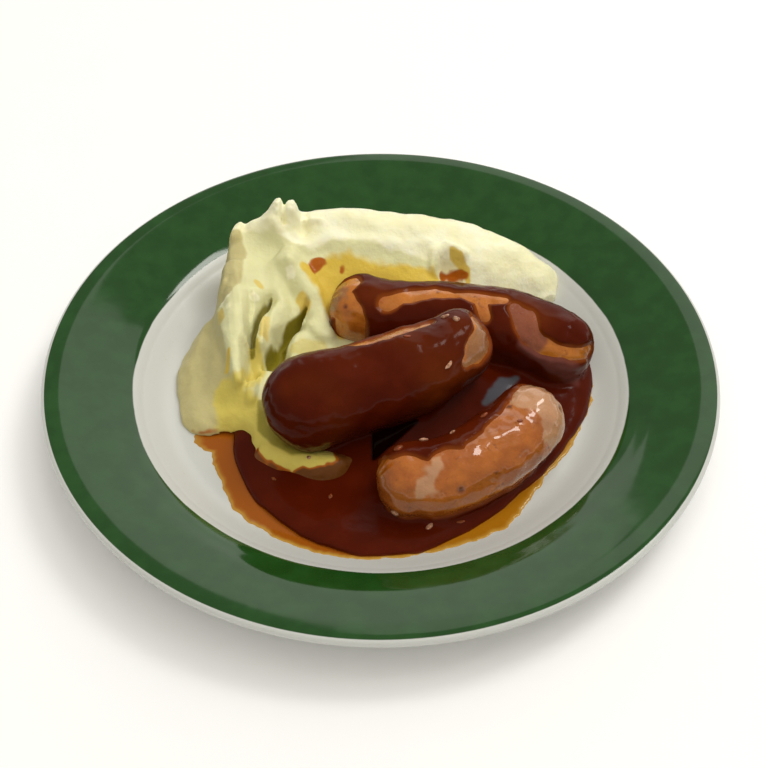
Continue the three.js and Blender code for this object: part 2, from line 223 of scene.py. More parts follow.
class Block:
    """A block of space cut into cells, with the fields of solids in it."""

    def __init__(self, low, high, cell):
        self.cell = cell
        self.low = np.array(low, float)
        axes = [np.arange(lo, hi + cell, cell, dtype=np.float32) for lo, hi in zip(low, high)]
        self.shape = tuple(len(axis) for axis in axes)
        self.x = axes[0][:, None, None]
        self.y = axes[1][None, :, None]
        self.z = axes[2][None, None, :]

    def of_mesh(self, points, quads, reach):
        """Signed distance to a closed mesh, right to within reach of it, negative inside."""
        grid = openvdb.FloatGrid.createLevelSetFromPolygons(
            np.ascontiguousarray((points - self.low) / self.cell, dtype=np.float32),
            quads=np.ascontiguousarray(quads, dtype=np.uint32),
            halfWidth=reach / self.cell,
        )
        field = np.empty(self.shape, np.float32)
        grid.copyToArray(field)
        return field * self.cell

    def of_chain(self, points, radii):
        """Distance to a string of round beads joined by tapering bars."""
        nearest = np.full(self.shape, 1e3, np.float32)
        points = np.asarray(points, float)
        for a, b, ra, rb in zip(points, points[1:], radii, radii[1:]):
            ax, ay, az = a
            dx, dy, dz = b - a
            size = dx * dx + dy * dy + dz * dz
            t = ((self.x - ax) * dx + (self.y - ay) * dy + (self.z - az) * dz) / np.float32(size)
            np.clip(t, 0, 1, out=t)
            away = np.sqrt((self.x - ax - t * dx) ** 2 + (self.y - ay - t * dy) ** 2
                           + (self.z - az - t * dz) ** 2)
            np.minimum(nearest, away - (ra + t * (rb - ra)), out=nearest)
        return nearest

    def lumps(self, size, seed):
        """Smooth random lumps of one size, about -1 to 1."""
        random = np.random.default_rng(seed)
        weights = []
        for axis in (self.x, self.y, self.z):
            place = axis.ravel() / size
            whole = np.floor(place).astype(int)
            t = place - whole
            spline = [(1 - t) ** 3 / 6, (3 * t ** 3 - 6 * t ** 2 + 4) / 6,
                      (-3 * t ** 3 + 3 * t ** 2 + 3 * t + 1) / 6, t ** 3 / 6]
            table = np.zeros((len(place), whole[-1] - whole[0] + 4), np.float32)
            for k, value in enumerate(spline):
                table[np.arange(len(place)), whole - whole[0] + k] = value
            weights.append(table)
        lattice = random.uniform(-1, 1, [table.shape[1] for table in weights]).astype(np.float32)
        value = np.tensordot(weights[0], lattice, (1, 0))
        value = np.tensordot(value, weights[1], (1, 1)).transpose(0, 2, 1)
        value = np.tensordot(value, weights[2], (2, 1))
        return value * 2.2

    def sample(self, field, points):
        """The field's value at points in mm."""
        place = (points - self.low) / self.cell
        corner = np.clip(place.astype(int), 0, np.array(self.shape) - 2)
        t = np.clip(place - corner, 0, 1)
        total = np.zeros(len(points))
        for step in np.ndindex(2, 2, 2):
            weight = np.prod(np.where(step, t, 1 - t), axis=1)
            total += weight * field[tuple((corner + step).T)]
        return total

    def skin(self, field):
        """The surface where a field is zero: its points in mm, and its quads."""
        grid = openvdb.FloatGrid()
        grid.copyFromArray(np.ascontiguousarray(field, dtype=np.float32))
        points, quads = grid.convertToQuads(isovalue=0.0)
        return points * self.cell + self.low, quads


def make_mesh(name, points, faces, material, body="root", node=None):
    """One smooth piece from points in mm, riding on a body."""
    mesh = bpy.data.meshes.new(name)
    mesh.from_pydata((np.asarray(points) * MM).tolist(), [], np.asarray(faces).tolist()
                     if isinstance(faces, np.ndarray) else faces)
    mesh.shade_smooth()
    mesh.materials.append(material)
    piece = bpy.data.objects.new(name, mesh)
    bpy.context.scene.collection.objects.link(piece)
    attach(piece, body)
    if node:
        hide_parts(node)
    return piece


def keep_value(piece, name, values):
    """Stores one number a vertex for the material to read."""
    attribute = piece.data.attributes.new(name, "FLOAT", "POINT")
    attribute.data.foreach_set("value", np.asarray(values, np.float32))


def tube_faces(rings, around):
    """Quads over rings of points, in order; the ends stay open."""
    ring, step = np.meshgrid(np.arange(rings - 1), np.arange(around), indexing="ij")
    after = (step + 1) % around
    quads = [ring * around + step, ring * around + after,
             (ring + 1) * around + after, (ring + 1) * around + step]
    return np.stack([q.ravel() for q in quads], axis=1)


# ---- Materials ------------------------------------------------------------------------------

def linear(code):
    """An sRGB hex colour as linear RGBA."""
    values = [int(code[i:i + 2], 16) / 255 for i in (1, 3, 5)]
    return tuple(v / 12.92 if v <= 0.04045 else ((v + 0.055) / 1.055) ** 2.4 for v in values) + (1,)


def add(tree, kind, inputs=None, **settings):
    """Adds a node: settings are its own properties, inputs its socket values or links."""
    node = tree.nodes.new(kind)
    for name, value in settings.items():
        setattr(node, name, value)
    for name, value in (inputs or {}).items():
        if isinstance(value, bpy.types.NodeSocket):
            tree.links.new(value, node.inputs[name])
        else:
            node.inputs[name].default_value = value
    return node


def new_material(name):
    material = bpy.data.materials.new(name)
    material.use_nodes = True
    tree = material.node_tree
    tree.nodes.clear()
    shader = add(tree, "ShaderNodeBsdfPrincipled")
    output = add(tree, "ShaderNodeOutputMaterial", {"Surface": shader.outputs["BSDF"]})
    output.location = (400, 0)
    place = add(tree, "ShaderNodeTexCoord").outputs["Object"]
    return material, tree, shader, place


def per_mm(size):
    """Texture scale for a pattern of a size in mm, in object space of metres."""
    return 1 / (size * MM)


def mix(tree, factor, first, second):
    node = add(tree, "ShaderNodeMix", data_type="RGBA")
    for socket, value in zip((node.inputs[0], node.inputs[6], node.inputs[7]), (factor, first, second)):
        if isinstance(value, bpy.types.NodeSocket):
            tree.links.new(value, socket)
        else:
            socket.default_value = value
    return node.outputs[2]


def ramp(tree, value, low, high, bottom=0.0, top=1.0):
    return add(tree, "ShaderNodeMapRange",
               {"Value": value, "From Min": low, "From Max": high, "To Min": bottom, "To Max": top},
               interpolation_type="SMOOTHSTEP").outputs["Result"]


def cloud(tree, place, size, detail=3.0, roughness=0.5):
    return add(tree, "ShaderNodeTexNoise",
               {"Vector": place, "Scale": per_mm(size), "Detail": detail, "Roughness": roughness},
               ).outputs["Fac"]


def bump(tree, height, depth, under=None):
    inputs = {"Height": height, "Strength": 1.0, "Distance": depth * MM}
    if under:
        inputs["Normal"] = under
    return add(tree, "ShaderNodeBump", inputs).outputs["Normal"]


def set_values(shader, **values):
    for name, value in values.items():
        shader.inputs[name.replace("_", " ")].default_value = value


def overlay(tree, colour, layers):
    """Lays colours over one another, each where the mesh keeps a value for it."""
    for name, code in layers:
        kept = add(tree, "ShaderNodeAttribute", attribute_name=name).outputs["Fac"]
        colour = mix(tree, kept, colour, linear(code))
    return colour


def glazed_stoneware():
    """Stoneware with a clear gloss glaze: white in the well and under, green on the rim."""
    material, tree, shader, place = new_material("glazed_stoneware")
    split = add(tree, "ShaderNodeSeparateXYZ", {"Vector": place})
    flat = add(tree, "ShaderNodeCombineXYZ", {"X": split.outputs["X"], "Y": split.outputs["Y"]})
    radius = add(tree, "ShaderNodeVectorMath", {0: flat.outputs["Vector"]}, operation="LENGTH")
    # the hand-dipped edge between the glazes wanders by a few tenths of a millimetre
    sway = add(tree, "ShaderNodeMath", {0: cloud(tree, place, 22), 1: 0.0011}, operation="MULTIPLY")
    edge = add(tree, "ShaderNodeMath", {0: radius.outputs["Value"], 1: sway.outputs["Value"]},
               operation="ADD")
    on_rim = ramp(tree, edge.outputs["Value"], (GREEN_FROM + 0.3) * MM, (GREEN_FROM + 0.8) * MM)
    over_lip = add(tree, "ShaderNodeAttribute", attribute_name="over_lip").outputs["Fac"]
    upper = ramp(tree, over_lip, 0.10, 0.22, 1, 0)
    is_green = add(tree, "ShaderNodeMath", {0: on_rim, 1: upper}, operation="MULTIPLY").outputs["Value"]
    mottle = cloud(tree, place, 9, 5)
    green = mix(tree, ramp(tree, mottle, 0.35, 0.7), linear("#1b4114"), linear("#214a1b"))
    speck = cloud(tree, place, 1.1, 2)
    white = mix(tree, ramp(tree, speck, 0.66, 0.74, 0, 0.25), linear("#c7c8c2"), linear("#b5ae9b"))
    colour = mix(tree, is_green, white, green)
    tree.links.new(colour, shader.inputs["Base Color"])
    ripple = bump(tree, cloud(tree, place, 16, 2), 0.05)
    tree.links.new(ripple, shader.inputs["Normal"])
    tree.links.new(ramp(tree, is_green, 0, 1, 0.3, 0.08), shader.inputs["Roughness"])
    set_values(shader, IOR=1.5)
    return material


def creamed_potato():
    """Mashed potato, beaten with butter: moist, softly scattering, stained where gravy soaks in."""
    material, tree, shader, place = new_material("creamed_potato")
    patches = cloud(tree, place, 14, 4)
    colour = mix(tree, ramp(tree, patches, 0.35, 0.68), linear("#f8f5d4"), linear("#f2edc0"))
    flecks = cloud(tree, place, 2.4, 3, 0.6)
    colour = mix(tree, ramp(tree, flecks, 0.62, 0.76, 0, 0.4), colour, linear("#e8dc98"))
    # painted shade: the cream and tan layers darken the inner face and the outer flank against the lit top,
    # the olive layer also stands for shade under the middle sausage, and the dark olive layer is shade in
    # the furrows
    colour = overlay(tree, colour, [
        ("inner", "#e0ddaa"), ("flank_shade", "#c6bb84"), ("butter", "#dcbc44"), ("steeped_and_shaded", "#d8c662"),
        ("deep", "#7f741a"),
    ])
    sauce = add(tree, "ShaderNodeAttribute", attribute_name="sauce").outputs["Fac"]
    colour = mix(tree, ramp(tree, sauce, 0.1, 0.45), colour, linear("#ad5c14"))
    colour = mix(tree, ramp(tree, sauce, 0.55, 0.95), colour, linear("#6c3f18"))
    tree.links.new(colour, shader.inputs["Base Color"])
    tree.links.new(ramp(tree, sauce, 0.1, 0.7, 0.45, 0.2), shader.inputs["Roughness"])
    grain = bump(tree, cloud(tree, place, 1.5, 3, 0.5), 0.18)
    fluff = bump(tree, cloud(tree, place, 3.6, 3), 0.4, grain)
    tree.links.new(fluff, shader.inputs["Normal"])
    set_values(shader, IOR=1.4, Subsurface_Weight=0.3, Subsurface_Scale=1.6 * MM,
               Subsurface_Radius=(1.0, 0.8, 0.4), Specular_IOR_Level=0.3)
    return material


def fried_skin(name, pale, brown, dark, tan_and_glint_colour, coat):
    """Fried sausage skin: greasy, taut and finely pricked, browned in patches; painted glints, a painted
    sheen and painted shade in the pits lie over it.
    """
    material, tree, shader, place = new_material(name)
    patches = cloud(tree, place, 11, 4, 0.6)
    colour = mix(tree, ramp(tree, patches, 0.38, 0.66), linear(pale), linear(brown))
    scorch = cloud(tree, place, 5, 5, 0.65)
    colour = mix(tree, ramp(tree, scorch, 0.58, 0.74), colour, linear(dark))
    # the paler skin layer is partly painted glints, the rosy layer a painted sheen, the browned layer partly
    # painted shade in the pits
    colour = overlay(tree, colour, [("tan", tan_and_glint_colour), ("rosy_sheen", "#84442f"), ("browned_and_pit_shade", dark)])
    tree.links.new(colour, shader.inputs["Base Color"])
    tree.links.new(ramp(tree, cloud(tree, place, 3, 3), 0.35, 0.7, 0.22, 0.42),
                   shader.inputs["Roughness"])
    fine = bump(tree, cloud(tree, place, 0.9, 3, 0.6), 0.09)
    wrinkles = bump(tree, cloud(tree, place, 2.6, 4, 0.55), 0.3, fine)
    tree.links.new(wrinkles, shader.inputs["Normal"])
    set_values(shader, IOR=1.45, Subsurface_Weight=0.08, Subsurface_Scale=1.2 * MM,
               Subsurface_Radius=(1.0, 0.4, 0.2), Specular_IOR_Level=0.3, Coat_Weight=coat,
               Coat_Roughness=0.05, Coat_IOR=1.6)
    return material


def onion_gravy():
    """Thick gravy: nearly opaque, wet and level, redder where it thins out."""
    material, tree, shader, place = new_material("onion_gravy")
    swirl = cloud(tree, place, 12, 4)
    colour = mix(tree, ramp(tree, swirl, 0.4, 0.7), linear("#481203"), linear("#501604"))
    # a painted sheen and a painted blue-grey reflection lie on the gravy, and painted shade in the crease
    colour = overlay(tree, colour, [
        ("thin", "#7c3a0e"), ("painted_sheen", "#6a3d36"), ("painted_reflection", "#52595f"), ("shade", "#150300"),
    ])
    tree.links.new(colour, shader.inputs["Base Color"])
    slack = bump(tree, cloud(tree, place, 6, 2), 0.16)
    tree.links.new(slack, shader.inputs["Normal"])
    set_values(shader, Roughness=0.14, IOR=1.35, Specular_IOR_Level=0.16)
    return material


def thin_juice():
    """Fat and thin juice that runs out past the gravy: amber, clear and flat."""
    material, tree, shader, place = new_material("thin_juice")
    side = add(tree, "ShaderNodeSeparateXYZ", {"Vector": place}).outputs["X"]
    warm = mix(tree, ramp(tree, side, -5 * MM, 15 * MM), linear("#97500f"), linear("#a3690f"))
    colour = overlay(tree, warm, [("thin", "#b98e3a")])
    tree.links.new(colour, shader.inputs["Base Color"])
    set_values(shader, Roughness=0.1, IOR=1.36)
    return material


# ---- The plate ------------------------------------------------------------------------------

def plate_profile():
    """Half section of the plate from the middle of its face to the middle of its underside."""
    lip = PLATE_THICKNESS / 2
    lip_centre = PLATE_RADIUS - lip
    lip_z = plate_top(lip_centre) - lip
    radii = np.concatenate([
        np.linspace(0, FLOOR_RADIUS, 12), np.linspace(FLOOR_RADIUS, WALL_RADIUS, 36)[1:],
        np.linspace(WALL_RADIUS, lip_centre, 24)[1:-1],
    ])
    eased = SHOULDER_EASE * np.exp(-((radii - SHOULDER_RADIUS) / SHOULDER_WIDTH) ** 2)
    face = list(zip(radii.tolist(), (plate_top(radii) - eased).tolist()))
    edge = [(lip_centre + lip * math.cos(a), lip_z + lip * math.sin(a))
            for a in np.linspace(math.pi / 2, -math.pi / 2, 16)]
    under = [(r, float(plate_top(r)) - PLATE_THICKNESS)
             for r in np.linspace(lip_centre - 3, 82.6, 30)]
    foot = [(78.8, UNDER_Z), (77.6, 1.5), (FOOT_OUTER, 0.5), (76.4, 0), (73.1, 0),
            (FOOT_INNER, 0.5), (71.6, 1.7), (70.5, UNDER_Z), (0, UNDER_Z)]
    return face, edge, under + foot


def build_plate():
    face, edge, below = plate_profile()
    profile = face + edge + below
    around = 240
    angles = np.linspace(0, 2 * math.pi, around, endpoint=False)
    radii = np.array([r for r, _ in profile[1:-1]])
    heights = np.array([z for _, z in profile[1:-1]])
    ring = np.stack([np.cos(angles), np.sin(angles)], axis=1)
    points = np.concatenate([
        np.concatenate([ring * r, np.full((around, 1), z)], axis=1) for r, z in zip(radii, heights)])
    middle = [[0, 0, profile[0][1]], [0, 0, profile[-1][1]]]
    faces = tube_faces(len(radii), around)[:, ::-1].tolist()
    top, bottom = len(points), len(points) + 1
    last = (len(radii) - 1) * around
    for k in range(around):
        after = (k + 1) % around
        faces.append([top, k, after])
        faces.append([bottom, last + after, last + k])
    points = np.concatenate([points, middle])
    piece = make_mesh("dinner_plate", points, faces, GLAZE, node="plate")
    # how far round the lip a point lies: 0 on the face, 1 at the outermost edge, 2 underneath
    rings = np.full(len(radii), 2.0)
    rings[:len(face) - 1] = 0
    rings[len(face) - 1:len(face) - 1 + len(edge)] = np.linspace(0, 2, len(edge))
    keep_value(piece, "over_lip", np.concatenate([np.repeat(rings, around), [0, 2]]))


# ---- The sausages ---------------------------------------------------------------------------

def sausage_mesh(spine, radius, left_share, right_share, seed):
    """Rings of points from the left tip to the right tip, and how near an end each one is."""
    body, cap, around = ((150, 34, 128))
    fine = through(spine, np.linspace(0, 1, 400))
    steps = np.concatenate([[0], np.cumsum(np.linalg.norm(np.diff(fine, axis=0), axis=1))])
    length = steps[-1]

    def girth(along):
        left = left_share + (1 - left_share) * smoothstep(0, TAPER * length, along)
        right = right_share + (1 - right_share) * smoothstep(0, TAPER * length, length - along)
        return radius * left * right

    along = [np.linspace(0, length, body)]
    wide = [girth(along[0])]
    angles = np.linspace(0, math.pi / 2 - 0.01, cap + 1)[1:]
    for end in (0, 1):
        end_radius = float(girth(np.array([end * length]))[0])
        ring = end_radius * np.cos(angles)
        beyond = CAP_LENGTH * end_radius * np.sin(angles)
        beyond = beyond - PUCKER_DEPTH * np.exp(-(ring / PUCKER_RADIUS) ** 2)
        if end:
            along.append(length + beyond)
            wide.append(ring)
        else:
            along.insert(0, -beyond[::-1])
            wide.insert(0, ring[::-1])
    along, wide = np.concatenate(along), np.concatenate(wide)
    inside = np.clip(along, 0, length)
    centre = np.stack([np.interp(inside, steps, fine[:, k]) for k in range(3)], axis=1)
    ahead = np.stack([np.interp(np.minimum(inside + 0.5, length), steps, fine[:, k])
                      - np.interp(np.maximum(inside - 0.5, 0), steps, fine[:, k])
                      for k in range(3)], axis=1)
    ahead /= np.linalg.norm(ahead, axis=1)[:, None]
    centre += ahead * (along - inside)[:, None]
    side = np.cross([0, 0, 1], ahead)
    side /= np.linalg.norm(side, axis=1)[:, None]
    up = np.cross(ahead, side)
    angle = np.linspace(0, 2 * math.pi, around, endpoint=False)
    out = (side[:, None] * np.cos(angle)[None, :, None] + up[:, None] * np.sin(angle)[None, :, None])
    # the skin gathers into pleats towards the tied ends
    gather = np.exp(-(wide / 8.0) ** 2)
    twist = 0.5 * np.sin(along / 3 + seed)
    folds = PLEATS * angle + 2.2 * np.sin(2 * angle + seed)
    pleats = 0.5 + 0.5 * np.cos(folds[None, :] + twist[:, None])
    shape = wide[:, None] * (1 - PLEAT_DEPTH * gather[:, None] * pleats)
    points = (centre[:, None] + out * shape[..., None]).reshape(-1, 3)
    flat_out = out.reshape(-1, 3)
    mass = 0.45 * wander(points, 13, seed) + 0.22 * wander(points, 5.5, seed + 3, 2)
    calm = np.repeat(np.clip(wide / 9, 0, 1), around)
    points = points + flat_out * (mass * calm)[:, None]
    return points, tube_faces(len(along), around), np.repeat(gather, around), around


# paler skin, as paths of (x, y, z, radius), in part painted glints on the back sausage's left end and beside
# the front sausage's notch; and pits of (x, y, z, radius, depth), darkened with painted shade
TAN_AND_GLINT_SKIN = {
    "sausage_front": [
        [(55, -28, 29, 11), (60, -36, 26, 9.5), (58.5, -42, 25, 5)],
        [(19.5, -62, 32.5, 1.9), (17.6, -65.6, 31, 3), (14.8, -69.2, 28, 3), (12.6, -71, 25.5, 1.6)],
    ],
    "sausage_back": [[(-19, 26, 27, 4), (-17, 24, 30, 5)]],
    "sausage_middle": [[(36, -4, 42, 4), (36, -12, 40, 4.5), (30, -20, 37, 3)]],
}
TAN_AND_GLINT_STRENGTH = {"sausage_front": 0.85, "sausage_back": 0.7, "sausage_middle": 0.8}
# painted sheen: a pinkish wet patch on the back sausage's right end
ROSY_SHEEN = {
    "sausage_back": [[(50, 12, 34, 5), (55, 8, 33, 5), (57, 1, 29, 4.5)]],
}
BROWNED_SKIN = {
    "sausage_back": [[(-10.5, 14.5, 30, 2.8), (-9, 11.5, 25, 3.4)]],
}
# the pits are pressed in and painted darker, as shade inside them
PITS = {
    "sausage_front": [(64.9, -31.9, 27.7, 1.6, 1.3), (27.3, -68, 26.1, 1.3, 0.3)],
    "sausage_back": [(-13.5, 17, 31, 1.0, 0.4)],
}


def chain_distance(points, path):
    """Distance from points to a string of round beads joined by tapering bars."""
    nearest = np.full(len(points), 1e3)
    for a, b in zip(path, path[1:]):
        start, span = np.array(a[:3], float), np.array(b[:3], float) - np.array(a[:3], float)
        t = np.clip((points - start) @ span / float(span @ span), 0, 1)
        away = np.linalg.norm(points - start - t[:, None] * span, axis=1)
        nearest = np.minimum(nearest, away - (a[3] + t * (b[3] - a[3])))
    return nearest


def build_sausages():
    pieces, meshes = {}, {}
    skins = {"sausage_back": SKIN_DARK, "sausage_middle": SKIN_DARK, "sausage_front": SKIN_PALE}
    for seed, (name, (spine, radius, left, right)) in enumerate(SAUSAGES.items(), start=2):
        points, quads, gather, around = sausage_mesh(spine, radius, left, right, seed)
        middle = np.array(spine).mean(axis=0)
        browned_and_pit_shade = 0.5 * gather + 0.25 * wander(points, 9, seed + 8)
        for x, y, z, wide, deep in PITS.get(name, []):
            near = np.exp(-(np.linalg.norm(points - (x, y, z), axis=1) / wide) ** 2)
            inward = middle - (x, y, z)
            points = points + deep * near[:, None] * inward / np.linalg.norm(inward)
            # painted shade in the pit, added to the browning
            browned_and_pit_shade = np.maximum(browned_and_pit_shade, near * 1.2)
        ragged = 1.6 * wander(points, 5, seed + 12, 2)
        tan = np.zeros(len(points))
        for path in TAN_AND_GLINT_SKIN[name]:
            tan = np.maximum(tan, smoothstep(0.7, -0.7, chain_distance(points, path) + ragged))
        for path in BROWNED_SKIN.get(name, []):
            near = smoothstep(1.2, -1.2, chain_distance(points, path) + ragged)
            browned_and_pit_shade = np.maximum(browned_and_pit_shade, 0.25 * near)
        rosy_sheen = np.zeros(len(points))
        for path in ROSY_SHEEN.get(name, []):
            rosy_sheen = np.maximum(rosy_sheen, smoothstep(1.2, -1.2, chain_distance(points, path) + ragged))
        last = len(points) - around
        ends = [list(range(around))[::-1], list(range(last, last + around))]
        piece = make_mesh(name.replace("sausage", "cooked_sausage"), points, quads.tolist() + ends,
                          skins[name], node=name)
        keep_value(piece, "browned_and_pit_shade", np.clip(browned_and_pit_shade, 0, 1))
        # paler skin, partly painted glints
        keep_value(piece, "tan", tan * TAN_AND_GLINT_STRENGTH[name])
        # painted sheen on the back sausage's wet patch
        keep_value(piece, "rosy_sheen", 0.85 * rosy_sheen)
        pieces[name] = piece
        meshes[name] = (points, quads)
    return pieces, meshes


# ---- The mash -------------------------------------------------------------------------------

def mash_rings():
    sections, across, under = ((220, 80, 20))
    rows = through(MASH_SECTIONS, np.linspace(0, 1, sections + 1))
    bearing = np.radians(rows[:, 0])[:, None]
    crest, height, outer, inner, inner_z, full = (rows[:, k][:, None] for k in range(1, 7))
    foot_z = plate_top(outer) + 1.2
    t = -np.cos(np.linspace(0, math.pi, across + 1))[None, :]
    radius = np.where(t < 0, crest - (outer - crest) * t, crest + (inner - crest) * t)
    outer_z = foot_z + (height - foot_z) * (1 - np.minimum(np.abs(t), 1) ** full) ** 0.75
    slope_z = inner_z + (height - inner_z) * ((1 + np.cos(math.pi * t)) / 2) ** 0.9
    x, y = radius * np.cos(bearing), radius * np.sin(bearing)
    fade = np.minimum(1, 2.5 * (1 - np.abs(t)))
    z = np.where(t < 0, outer_z, slope_z) + bumps(x, y, MASH_RELIEF) * fade
    top = np.stack([x, y, np.maximum(z, plate_top(radius) + 1.2)], axis=2)
    back = inner + (outer - inner) * np.linspace(0, 1, under + 1)[None, :]
    bottom = np.stack([back * np.cos(bearing), back * np.sin(bearing), plate_top(back) - 0.5], axis=2)
    return np.concatenate([top, bottom], axis=1)


def closed_tube(rings):
    """Points and quads of a closed skin over rings; each end is drawn to its middle."""
    count, around = rings.shape[:2]
    ends = [np.repeat(rings[k].mean(axis=0)[None], around, axis=0)[None] for k in (0, -1)]
    rings = np.concatenate([ends[0], rings, ends[1]])
    return rings.reshape(-1, 3), tube_faces(count + 2, around)


# spoon marks and torn lobes: path of (x, y, half width), how far it stands out or is pressed in,
# and how square its sides are
MASH_LOBES = [
    ([(-60, 34, 6), (-57.5, 18, 6.4), (-54.5, 3, 5), (-52, -14, 1.8)], 2.4, 6),
    ([(-47, 24, 2.8), (-46, 12, 3), (-44.2, 3.5, 1.6)], 2.2, 5),
    ([(-36, 40, 5), (-29.5, 31, 5.4), (-26, 22, 5.6), (-22, 15.5, 4.4)], 2.3, 6),
    ([(-57.6, 52, 2.4), (-56.6, 56.5, 2.4)], 2.8, 4),
    ([(-71, 51, 7), (-67.5, 42, 7), (-69, 28, 4.5)], -4.6, 3),
    ([(-46, -9, 1.6), (-47.6, -19, 1.8)], 1.7, 4),
    ([(-43, 26, 0.8), (-45.4, 18.7, 1.4), (-47.9, 9, 1.4), (-48.5, 4.5, 0.9)], -3.0, 3),
    ([(-29, 24.6, 0.9), (-34.2, 15.5, 1.2), (-38, 9.2, 1.8), (-37.4, 3.9, 2.6), (-42, -2, 1.8)], -3.4, 3),
    ([(-58, -20, 8), (-51, -27, 7), (-45, -34, 4)], -2.6, 3),
    ([(-50, 0, 2.6), (-48.5, -9, 3)], -2.4, 3),
    ([(-31, 61, 2), (-30.3, 54, 2.2)], -2.2, 3),
    ([(-38, 61, 0.9), (-37.8, 54, 1.1)], -2.0, 3),
    ([(-51, 55, 2.6), (-40, 50.5, 2.8), (-33, 46, 3), (-22, 49.6, 3), (-1, 50.5, 3), (20, 50.5, 3)], 1.5, 2),
    ([(-30, 57, 1.1), (-24, 55.5, 1.3)], 1.5, 3),
    ([(21, 42.5, 1.8), (22, 47, 2.2), (26.5, 50.5, 2.0), (33, 49.5, 1.6)], 2.4, 3),
    ([(26.5, 44.5, 3), (30.5, 44, 3)], -2.0, 3),
    ([(40, 50, 6), (52, 51, 8), (62, 51, 7)], 1.6, 3),
    ([(-46, -34, 4), (-40, -42, 4), (-30, -46, 4), (-16, -47, 4)], 1.2, 3),
    ([(-63, 27, 2.2), (-62, 28, 2.2)], 1.3, 3),
    ([(-50.5, 24, 1.9), (-49.5, 23, 1.9)], 1.2, 3),
    ([(-36, 37, 1.7), (-35, 36.5, 1.7)], 1.2, 3),
    ([(-67, 38, 3), (-66, 44, 2.4)], -1.6, 3),
]
MASH_LUMPS = [(8, 0.5), (4.2, 0.55), (2.2, 0.24)]  # size and height
TIP_EASE = 0.5  # how far the tips of the peaks settle


def build_mash():
    cell = 0.6
    block = Block((-88, -62, 3), (82, 92, 58), cell)
    points, quads = closed_tube(mash_rings())
    field = block.of_mesh(points, quads, 6.0)
    sway_x = block.lumps(7, 31)[:, :, 0] * 0.9
    sway_y = block.lumps(7, 32)[:, :, 0] * 0.9
    x, y = block.x[:, :, 0] + sway_x, block.y[:, :, 0] + sway_y
    shaped = sum(rise * np.exp(-lobe_reach(x, y, path) ** square) for path, rise, square in MASH_LOBES)
    field = field - shaped[:, :, None].astype(np.float32)
    for seed, (size, height) in enumerate(MASH_LUMPS, start=1):
        field = field + height * block.lumps(size, seed)
    points, quads = block.skin(field)
    points[:, 2] -= TIP_EASE * smoothstep(44, 51, points[:, 2])
    piece = make_mesh("mashed_potato", points, quads, POTATO, node="mash")
    x, y = points[:, 0], points[:, 1]
    wobble = wander(points, 5, 5, 2)
    # painted shade on the inner face of the mash, darker than its lit top
    keep_value(piece, "inner", shade_inner_face(x, y, wobble))
    # painted shade on the outer flank, which faces away from the light
    keep_value(piece, "flank_shade", shade_outer_flank(x, y, wobble))
    keep_value(piece, "butter", paint(x, y, BUTTER, wobble))
    # painted shade in the furrows and under the middle sausage's left end
    keep_value(piece, "deep", paint(x, y, FURROW_SHADE, 0.6 * wobble))
    # gravy soaked into the mash, and painted shade under and beside the middle sausage
    keep_value(piece, "steeped_and_shaded", paint(x, y, STEEPED_AND_SHADED, wobble))
    keep_value(piece, "sauce", mash_sauce(points, wobble))
    return piece


# where butter and juices have run into the mash: path of (x, y, half width) and strength
BUTTER = [
    ([(-29, 37, 2.5), (-22, 36, 6.5), (-10, 39, 7), (3, 38, 6), (16, 38.5, 4.5), (28, 37, 4)], 0.95),
    ([(-22, 34, 4), (-18, 24, 3.5), (-15, 17, 2.5)], 0.95),
    ([(-43.5, 14, 1.6), (-44, 6, 1.8)], 0.6),
    ([(-31, 26.5, 1.8), (-29, 24, 2.2)], 0.8),
    ([(28, 48.6, 1.0), (31.5, 48, 1.4), (34.2, 45.5, 1.2), (34.8, 42.5, 1.0)], 0.9),
    ([(-61, 17, 1.1), (-60, 12, 1.3)], 0.7),
    ([(-47.6, 30, 1.2), (-46.4, 28.6, 1.2)], 0.7),
    ([(-56.4, -3, 0.9), (-56.7, -9, 1.0)], 0.9),
]
# the low front, where the mash has drawn up gravy and turned olive yellow; the same colour is painted shade
# under the middle sausage and on the lobe beside it
STEEPED_AND_SHADED = [
    ([(-57, -16, 5), (-52, -23, 8), (-46, -31, 7), (-40, -40, 6), (-28, -45, 6), (-12, -44, 6)], 1.0),
    ([(-47.5, 3, 2), (-46, -5, 3.2), (-49, -14, 3.2)], 0.9),
    ([(-33, 7, 2), (-28.5, 8, 3.6), (-23, 9, 2.6)], 0.55),
]
# painted shade, dark olive, in the furrows and under the middle sausage's left end: path of (x, y, half
# width) and strength
FURROW_SHADE = [
    ([(-42.6, 26, 0.7), (-45.4, 18.7, 1.3), (-47.9, 9, 1.4), (-48.3, 1, 0.9)], 0.9),
    ([(-28.8, 24.8, 0.5), (-32.6, 19.9, 0.7), (-35.6, 15, 1.0), (-37.6, 8, 2.0), (-41.5, 0.5, 2.1)], 1.0),
    ([(-44, -20, 1.2), (-43, -30, 2.0), (-38, -37, 2.2), (-31, -41.5, 2.2), (-25, -41.6, 1.6)], 0.7),
]


# the ridge along which the bright top of the mash gives way to its inner face, where the painted shade on
# that face begins: x and y
INNER_RIDGE = np.array([
    (-57, 53.5), (-50, 53.5), (-42, 50.5), (-33, 46.5), (-28, 45.8), (-20, 48), (-10, 50),
    (-3, 51), (1.6, 49), (8, 48), (22, 44.6),
])
# spots on the inner face left out of its painted shade, so they stand out as painted highlights: x, y and
# radius
UNSHADED_SPOTS = [(-34.7, 34.7, 2.2), (-48.9, 22.1, 2.0), (-60.5, 22.4, 2.6), (-57.4, 16, 1.6), (-31.5, 48.5, 1.5)]
